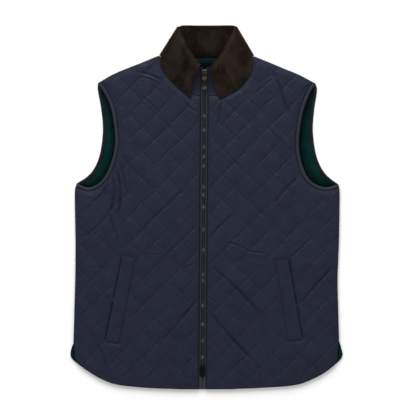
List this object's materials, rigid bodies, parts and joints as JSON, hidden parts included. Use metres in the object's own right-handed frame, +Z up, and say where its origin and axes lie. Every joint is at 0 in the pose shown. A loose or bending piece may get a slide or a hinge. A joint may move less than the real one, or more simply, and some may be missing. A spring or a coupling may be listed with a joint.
{
  "type": "quilted vest laid flat",
  "caption": "Zipped quilted vest with a turned-down corduroy collar and slanted welt pockets, laid flat with its front up.",
  "frame": {"origin": "on the surface that the vest lies on, under the middle of its box", "axes": "+X to the wearer's left, +Y from the hem to the collar, +Z up, out of the front"},
  "size_m": [0.579, 0.7745, 0.0245],
  "materials": {
    "shell": "navy woven shell, soft sheen",
    "binding": "navy woven binding",
    "lining": "dark green lining, soft sheen",
    "corduroy": "dark brown corduroy, matt",
    "tape": "navy woven zip tape, matt",
    "metal": "dull antique metal"
  },
  "bodies": {
    "garment": {"back_panel": "shell", "back_lining": "lining", "front_right": "shell", "front_left": "shell", "collar_fall": "corduroy", "collar_stand": "corduroy", "collar_band_right": "shell", "collar_band_left": "shell", "pocket_welt_right": "shell", "pocket_welt_left": "shell", "armhole_binding_front_right": "binding", "armhole_binding_front_left": "binding", "armhole_binding_back_right": "binding", "armhole_binding_back_left": "binding", "zip_tape_right": "tape", "zip_tape_left": "tape", "zip_chain": "metal", "zip_box": "metal", "zip_slider": "metal"},
    "pull_tab": {"zip_pull_tab": "metal"}
  },
  "joints": [
    {"name": "tab_hinge", "type": "hinge", "parent": "garment", "child": "pull_tab", "pos_m": [-0.00437, 0.27742, 0.01809], "axis": [-1, 0, 0], "range_deg": [0, 135]}
  ]
}
